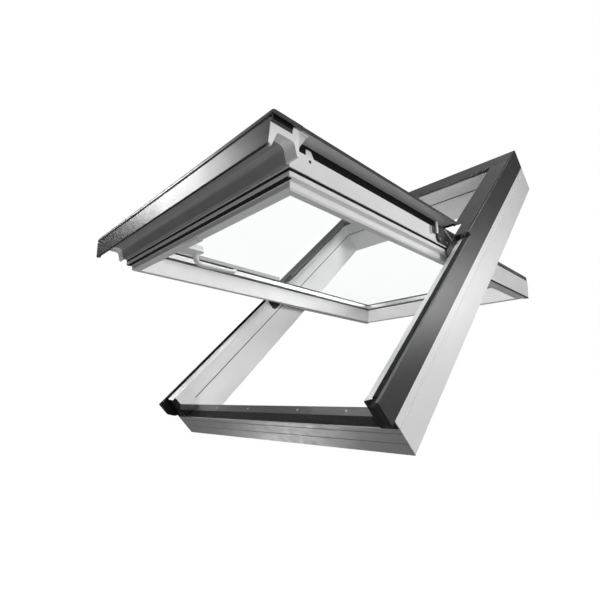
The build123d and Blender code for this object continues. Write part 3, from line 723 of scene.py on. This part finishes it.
def make_perforation_tree():
    """Small round holes at even steps along lines, as dark discs of painted shade."""
    tree, given, result = repeat_tree(
        "perforations",
        (("Radius", FLOAT), ("Step", FLOAT), ("Facing", VECTOR), ("Finish", "NodeSocketMaterial")),
    )
    line = tree.nodes.new("GeometryNodeMeshToCurve")
    tree.links.new(given.outputs["Places"], line.inputs["Mesh"])
    steps = tree.nodes.new("GeometryNodeResampleCurve")
    steps.mode = "LENGTH"
    tree.links.new(line.outputs["Curve"], steps.inputs["Curve"])
    tree.links.new(given.outputs["Step"], steps.inputs["Length"])
    disc = tree.nodes.new("GeometryNodeMeshCircle")
    disc.fill_type = "NGON"
    disc.inputs["Vertices"].default_value = 8
    tree.links.new(given.outputs["Radius"], disc.inputs["Radius"])
    rotation = standing(tree, given.outputs["Facing"])
    end_tree(tree, given, result, disc.outputs["Mesh"], rotation, steps.outputs["Curve"])
    return tree


def end_tree(tree, given, result, part, rotation, places):
    """Puts the part on the places, makes the copies real and gives them their finish."""
    copies = tree.nodes.new("GeometryNodeInstanceOnPoints")
    tree.links.new(places, copies.inputs["Points"])
    tree.links.new(part, copies.inputs["Instance"])
    tree.links.new(rotation, copies.inputs["Rotation"])
    real = tree.nodes.new("GeometryNodeRealizeInstances")
    tree.links.new(copies.outputs["Instances"], real.inputs["Geometry"])
    finish = tree.nodes.new("GeometryNodeSetMaterial")
    tree.links.new(real.outputs["Geometry"], finish.inputs["Geometry"])
    tree.links.new(given.outputs["Finish"], finish.inputs["Material"])
    tree.links.new(finish.outputs["Geometry"], result.inputs["Parts"])


def run_tree(name, tree, points, edges, values):
    """The tree's parts on a mesh of points, as a plain mesh."""
    mesh = bpy.data.meshes.new(name + "_places")
    mesh.from_pydata([tuple(point) for point in points], edges, [])
    piece = in_scene(name + "_places", mesh)
    maker = piece.modifiers.new("repeat", "NODES")
    maker.node_group = tree
    for item in tree.interface.items_tree:
        if item.in_out == "INPUT" and item.name in values:
            maker[item.identifier] = values[item.name]
    return settle(piece, name)


SCREW_TREE = make_screw_tree()
PERFORATION_TREE = make_perforation_tree()


def screws(name, body, groups, radius_mm, seed, finish="bright_steel"):
    """Screws at points that face one way in each group, and their recesses as a dark piece of painted shade.
    """
    for label, recess, look in (("heads", False, finish), ("recesses", True, "painted_hollow_shade")):
        made = []
        for number, (points, facing) in enumerate(groups):
            values = {
                "Radius": radius_mm * MM,
                "Facing": tuple(facing),
                "Only Recess": recess,
                "Seed": seed + number,
                "Finish": MATERIALS[look],
            }
            made.append(run_tree(f"{name}_{label}_{number}", SCREW_TREE, points, [], values))
        place(join(f"{name}_{label}", made), body, look)


# Pieces of the rain hood and its caps
def make_recess_shade_strip():
    """A black strip of painted shade in the recess along the hood's front."""
    half, back, front, low, high = 374, HOOD_FRONT + 3.8, HOOD_FRONT + 0.4, 3.2, 7.8
    corners = ((back, low), (front, low), (front, high), (back, high))
    outline = side_outline(sash_point, -half, corners)
    seal = plate("hood_recess_shade_strip", outline, ACROSS * 2 * half * MM, 0.5)
    place(seal, "sash", "black_rubber")


def make_end_shade_strips():
    """A black strip of painted shade in the gap at each end of the hood."""
    inner_face, thickness = 369.1, 1.9
    corners = ((-655, 8.6), (-608, 8.6), (-608, 19.6), (-655, 19.6))
    for side, sign in SIDES:
        outline = side_outline(sash_point, sign * inner_face, corners)
        strip = plate(f"hood_end_strip_{side}", outline, ACROSS * sign * thickness * MM, 0.4)
        place(strip, "sash", "black_rubber")


def make_cap_screws():
    """One dark screw beside the foot of each hood cap, on the side of the stile."""
    sunk = 0.4
    groups = [
        ([sash_point(sign * (STILE_FACE - sunk), -542, -8.7)], ACROSS * sign) for _, sign in SIDES
    ]
    screws("cap_screw", "sash", groups, 3.4, 3, "hinge_steel")


def make_cap_wings():
    """The white wing of each hood cap that stands on the stile's outer edge."""
    inner_face, thickness = 343.2, 1.7
    corners = ((-552, -0.1), (-552, 12.4), (-541, 12.4), (-538.4, 10.2), (-532, -0.1))
    for side, sign in SIDES:
        outline = side_outline(sash_point, sign * inner_face, corners)
        wing = plate(f"cap_wing_{side}", outline, ACROSS * sign * thickness * MM, 0.3)
        place(wing, "sash", "white_fitting")


def make_cover_plugs():
    """The black plug that closes the upper end of each side cover."""
    start, length = -55, 2.6
    corners = ((307, 11.5), (344, 11.5), (344, 14.5), (375.6, 14.5), (375.6, 19.6), (307, 19.6))
    for side, sign in SIDES:
        outline = section_outline(sash_point, sign, start, corners)
        plug = plate(f"cover_plug_{side}", outline, UP_SASH * length * MM, 0.4)
        place(plug, "sash", "black_rubber")


def make_drip_edging():
    """The thin black edging under the hood's drip edge."""
    half, front, back, foot = 366, HOOD_FRONT + 0.2, HOOD_FRONT + 2.6, HOOD_DRIP - 1.4
    corners = ((front, HOOD_DRIP), (front, foot), (back, foot), (back, HOOD_DRIP))
    outline = side_outline(sash_point, -half, corners)
    edging = plate("hood_drip_edging", outline, ACROSS * 2 * half * MM, 0.2)
    place(edging, "sash", "black_rubber")


# Pieces of the handle
def make_handle_plate():
    """The low white plate on the rail's room face beside the handle."""
    height, sunk = 1.8, 0.2
    corners = (
        (-50, -573), (-47, -576), (17, -576), (20, -573),
        (20, -560), (17, -557), (-47, -557), (-50, -560),
    )
    outline = [sash_point(x, v, ROOM_FACE - height) for x, v in corners]
    low_plate = plate("handle_plate", outline, OUT_SASH * height * MM, 0.6)
    place(low_plate, "sash", "white_fitting")
    points = [sash_point(x, -566.5, ROOM_FACE - height + sunk) for x in (-41, 11)]
    screws("handle_plate_screw", "sash", [(points, -OUT_SASH)], 2.4, 8)


# Pieces of the pivot hinges
def flat_bar(name, sign, start, end, width, face, thickness):
    """A flat bar on the outer side of the sash, from one point to another."""
    along = (Vector(end) - Vector(start)).normalized()
    aside = Vector((-along.y, along.x)) * width / 2
    first, last = Vector(start), Vector(end)
    corners = (first + aside, first - aside, last - aside, last + aside)
    outline = side_outline(sash_point, sign * face, corners)
    return plate(name, outline, ACROSS * sign * thickness * MM, 0.2)


def washer(name, sign, centre, inner, outer, thickness):
    """A flat ring on the outer face of a sash hinge plate."""
    middle = sash_point(sign * HINGE_FACE, *centre)
    form = bmesh.new()
    rows = []
    for push in (0.0, thickness):
        shift = ACROSS * sign * push * MM
        for radius in (inner, outer):
            ring = ring_of(middle, UP_SASH, OUT_SASH, radius)
            rows.append([form.verts.new(point + shift) for point in ring])
    for low, high in ((0, 1), (1, 3), (3, 2), (2, 0)):
        for step in range(len(rows[0])):
            after = (step + 1) % len(rows[0])
            corners = (rows[low][step], rows[low][after], rows[high][after], rows[high][step])
            form.faces.new(corners)
    bmesh.ops.recalc_face_normals(form, faces=form.faces)
    return piece_of(form, name)


def make_hinge_fittings():
    """The arms, washers, straps and tabs seen on each sash hinge."""
    screw_face = HINGE_FACE - 0.7
    screw_spots = ((-86, -24), (-52, -25), (14, -24))
    for side, sign in SIDES:
        metal = [
            flat_bar("arm", sign, (-62, 8), (-28, -10.5), 5.0, HINGE_FACE, 0.7),
            flat_bar("lower_arm", sign, (-8, -8), (-35, -27), 2.2, HINGE_FACE, 0.6),
            washer("ring", sign, (0, 0), 6.6, 9.6, 0.7),
            washer("rivet", sign, (-10, 8), 0.4, 2.6, 0.8),
            washer("arm_end", sign, (-28, -10.5), 0.4, 3.6, 0.9),
        ]
        place(join(f"hinge_arm_{side}", metal), "sash", "bright_steel")
        dark = [
            flat_bar("strap", sign, (-96, -6), (-66, -6), 22.0, HINGE_FACE, 0.6),
            flat_bar("tie", sign, (-124, -8), (-104, -8), 20.0, STILE_FACE, 1.2),
        ]
        place(join(f"hinge_strap_{side}", dark), "sash", "hinge_steel")
        grey_tab = flat_bar(
            f"hinge_tab_{side}", sign, (-129, -2), (-129, -22), 8.0, STILE_FACE, 2.2
        )
        place(grey_tab, "sash", "bright_steel")
        white_tab = flat_bar(
            f"hinge_catch_{side}", sign, (-100, 17), (-100, -13), 7.0, STILE_FACE, 3.6
        )
        place(white_tab, "sash", "white_fitting")
    groups = [
        (side_outline(sash_point, sign * screw_face, screw_spots), ACROSS * sign)
        for _, sign in SIDES
    ]
    screws("hinge_screw", "sash", groups, 2.6, 20)


# Pieces of the glazing
def make_spacer_perforations():
    """Two rows of small holes along each inner side of the spacer."""
    proud, row_lift, end_gap, hole_radius, hole_step = 0.06, 2.2, 6, 0.55, 6.5
    half = OPENING_HALF - SPACER_LAP - proud
    reach = OPENING_HALF_LENGTH - SPACER_LAP - proud
    centre = sash_point(0, OPENING_MIDDLE, SPACER_MIDDLE)
    made = []
    for aside, along, length in (
        (ACROSS * half, UP_SASH, reach),
        (UP_SASH * reach, ACROSS, half),
    ):
        run = along * (length - end_gap) * MM
        for sign in (1, -1):
            points, edges = [], []
            for lift in (-row_lift, row_lift):
                start = centre + (aside * sign + OUT_SASH * lift) * MM
                points += [start - run, start + run]
                edges.append((len(points) - 2, len(points) - 1))
            values = {
                "Radius": hole_radius * MM,
                "Step": hole_step * MM,
                "Facing": tuple(aside.normalized() * -sign),
                "Finish": MATERIALS["painted_hollow_shade"],
            }
            name = f"perforations_{len(made)}"
            made.append(run_tree(name, PERFORATION_TREE, points, edges, values))
    # The holes are flat discs of painted shade.
    place(join("spacer_perforations", made), "sash", "painted_hollow_shade")


def make_stile_facings():
    """The flush outer face of each stile's upper half, its lip and the grey strip along the top."""
    low, high = 30, 508
    facing = (
        (330.8, -68.4), (342.2, -68.4), (344.9, -65.7), (344.9, -37.4),
        (342.6, -37.4), (342.6, -52.6), (330.8, -52.6),
    )
    lip = ((342.6, -69.0), (343.4, -69.0), (345.0, -67.4), (345.0, -65.2), (343.9, -65.2))
    strip = ((344.2, -7.5), (345.0, -7.5), (345.0, 6.0), (341.0, 6.0), (341.0, 0.2), (344.2, 0.2))
    parts = (
        ("facing", facing, "sash_white", "white_plastic"),
        ("lip", lip, "black_rubber", "black_rubber"),
        ("strip", strip, "roof_metal", "dark_cladding"),
    )
    for side, sign in SIDES:
        for part, corners, finish, slot in parts:
            outline = section_outline(sash_point, sign, low, corners)
            bar = plate(f"stile_{part}_{side}", outline, UP_SASH * (high - low) * MM, 0.1)
            place(bar, "sash", finish)


def make_ledge_shade_and_seal():
    """The black seal under the ledge along the front of the bottom rail, which also paints the shade on the
    ledge.
    """
    half = 338
    corners = ((-589, -53), (-579, -53), (-579, -53.9), (-584, -54.3), (-589, -53.9))
    outline = side_outline(sash_point, -half, corners)
    seal = plate("ledge_shade_and_seal", outline, ACROSS * 2 * half * MM, 0.2)
    place(seal, "sash", "black_rubber")


# Pieces of the frame
def make_frame_gasket():
    """The round black gasket in the inner grooves, with rounded corners at the head."""
    depth, corner_radius, cord_radius, sunk = 84.5, 5, 1.1, 0.8
    corner_steps = 6
    side, top, start = JAMB_INSIDE + sunk, HEAD_INSIDE + sunk, SILL_TOP + 2
    points = [frame_point(side, start, depth)]
    for corner, first_turn in ((1, 0.0), (-1, 90.0)):
        for step in range(corner_steps + 1):
            turn = math.radians(first_turn + 90 / corner_steps * step)
            x = corner * (side - corner_radius) + corner_radius * math.cos(turn)
            u = top - corner_radius + corner_radius * math.sin(turn)
            points.append(frame_point(x, u, depth))
    points.append(frame_point(-side, start, depth))
    gasket = cord_of_rubber("frame_gasket", points, cord_radius)
    place(gasket, "frame", "black_rubber")


def make_corner_covers():
    """The black seal and the dark cover that close each lower corner on the jamb's inner side."""
    seal = ((2, 60.5), (33, 60.5), (13, 106), (13, 130.5), (2, 130.5))
    cover = ((32, 60.5), (56.5, 60.5), (12.5, 106), (2.5, 93))
    seal_thickness, cover_thickness = 0.8, 1.3
    for side, sign in SIDES:
        inwards = ACROSS * -sign * MM
        outline = side_outline(frame_point, sign * JAMB_INSIDE, seal)
        black = plate(f"corner_seal_{side}", outline, inwards * seal_thickness, 0.2)
        place(black, "frame", "black_rubber")
        outline = side_outline(frame_point, sign * JAMB_INSIDE, cover)
        dark = plate(f"corner_cover_{side}", outline, inwards * cover_thickness, 0.3)
        place(dark, "frame", "hood_metal")


def make_cover_edge_reflection_strips():
    """A black strip along the outer edge of each upper cover, a painted dark reflection of the cover's
    rounded edge.
    """
    length = 584
    corners = ((384, 149.9), (388.4, 149.9), (388.4, 150.4), (384, 150.4))
    for side, sign in SIDES:
        outline = section_outline(frame_point, sign, SIDE_JOINT, corners)
        strip = plate(f"cover_edge_strip_{side}", outline, UP_ROOF * length * MM, 0.1)
        place(strip, "frame", "black_rubber")


def make_sill_screws():
    """Small screws through the dark strip on the sill."""
    points = [frame_point(x, 45, SILL_TOP) for x in (-240, -94, 94, 240)]
    screws("sill_screw", "frame", [(points, OUT_ROOF)], 3.0, 40)


# Stage: pale floor, white surroundings and soft lights, in metres and watts
FLOOR_DROP = 1.4
FLOOR_HALF = 30.0
FLOOR_IN_GLOSS = 0.2
ROOM_LIGHT = 0.05
MIDDLE = (0.0, 0.3, 0.45)
HOOD = (0.0, -0.36, 0.49)
JAMB = (0.39, 0.12, 0.55)
APRON = (0.0, -0.03, -0.02)
# Each light's name, place, target, size and power. The last three give the sheens on the metal.
SOFT_LIGHTS = (
    ("side_light", (1.2, 0.08, 0.57), JAMB, (0.5, 0.5), 4.2),
    ("low_side_light", (2.08, 0.3, -0.52), MIDDLE, (0.9, 0.9), 4),
    ("low_right_light", (1.47, -1.17, -0.52), MIDDLE, (0.9, 0.9), 7),
    ("low_front_light", (-1.47, -1.17, -0.52), MIDDLE, (0.9, 0.9), 3),
    ("top_light", (0.73, 0.3, 3.15), MIDDLE, (1.2, 1.2), 75),
    ("top_front_light", (0.0, -1.68, 2.43), MIDDLE, (0.9, 0.9), 42),
    ("back_light", (0.0, 3.06, 0.94), MIDDLE, (0.9, 0.9), 40),
    ("left_light", (-1.98, 0.3, 2.43), MIDDLE, (0.7, 0.7), 3),
    ("hood_sheen", (-1.95, -1.26, 1.76), HOOD, (0.55, 0.7), 19),
    ("jamb_sheen", (1.95, 2.25, 0.94), MIDDLE, (0.45, 0.45), 10.5),
    ("apron_sheen", (-0.97, 0.08, -1.0), APRON, (0.4, 0.4), 2.4),
)


def seen_directly(tree):
    """1 for what the camera sees, also through the glass, and the Light Path node itself."""
    path = tree.nodes.new("ShaderNodeLightPath")
    camera, through = path.outputs["Is Camera Ray"], path.outputs["Is Transmission Ray"]
    return calculate(tree, "MAXIMUM", camera, through), path


def make_floor():
    """A floor that is white to the camera and dim to everything else."""
    sheet = bmesh.new()
    bmesh.ops.create_grid(sheet, x_segments=1, y_segments=1, size=FLOOR_HALF)
    bmesh.ops.translate(sheet, vec=(0, 0, -FLOOR_DROP), verts=sheet.verts)
    floor = piece_of(sheet, "floor")
    material, tree, shader, where = new_material(
        "pale_floor", Roughness=0.9, Specular_IOR_Level=0.0, Emission_Color=(1, 1, 1, 1)
    )
    colour = use(tree, UNEVEN_TONE, where, Patch_Size=900, Colour=grey(0.16), Change=0.02)
    tree.links.new(colour, shader.inputs["Base Color"])
    direct, path = seen_directly(tree)
    mirrored = calculate(tree, "MULTIPLY", path.outputs["Is Glossy Ray"], FLOOR_IN_GLOSS)
    shine = calculate(tree, "MAXIMUM", direct, mirrored)
    tree.links.new(shine, shader.inputs["Emission Strength"])
    floor.data.materials.append(material)


def make_surroundings():
    """White to the camera, and a faint even light to everything else."""
    world = bpy.data.worlds.new("white_room")
    world.use_nodes = True
    tree = world.node_tree
    background = tree.nodes["Background"]
    background.inputs["Color"].default_value = (1, 1, 1, 1)
    direct, _ = seen_directly(tree)
    strength = between(tree, direct, 0.0, 1.0, ROOM_LIGHT, 1.0)
    tree.links.new(strength, background.inputs["Strength"])
    bpy.context.scene.world = world


def make_lights():
    """The soft lights around the window."""
    for name, spot, target, size, power in SOFT_LIGHTS:
        data = bpy.data.lights.new(name, "AREA")
        data.shape = "RECTANGLE"
        data.size, data.size_y = size
        data.energy = power
        light = in_scene(name, data)
        light.location = spot
        facing = Vector(target) - Vector(spot)
        light.rotation_euler = facing.to_track_quat("-Z", "Y").to_euler()


def make_camera():
    """The camera of the photograph's view."""
    data = bpy.data.cameras.new("camera")
    data.lens = CAMERA_LENS
    data.sensor_width = CAMERA_SENSOR
    camera = in_scene("camera", data)
    turn = Matrix.Rotation(math.radians(CAMERA_TURN), 4, "Z")
    tilt = Matrix.Rotation(math.radians(90 + CAMERA_TILT), 4, "X")
    roll = Matrix.Rotation(math.radians(CAMERA_ROLL), 4, "Z")
    camera.matrix_world = Matrix.Translation(CAMERA_PLACE) @ turn @ tilt @ roll
    bpy.context.scene.camera = camera


paint_nodes()
make_recess_shade_strip()
make_end_shade_strips()
make_cap_screws()
make_cap_wings()
make_cover_plugs()
make_drip_edging()
make_handle_plate()
make_hinge_fittings()
make_spacer_perforations()
make_stile_facings()
make_ledge_shade_and_seal()
make_frame_gasket()
make_corner_covers()
make_cover_edge_reflection_strips()
make_sill_screws()

make_floor()
make_surroundings()
make_lights()
make_camera()
bpy.context.scene.view_settings.view_transform = "Standard"
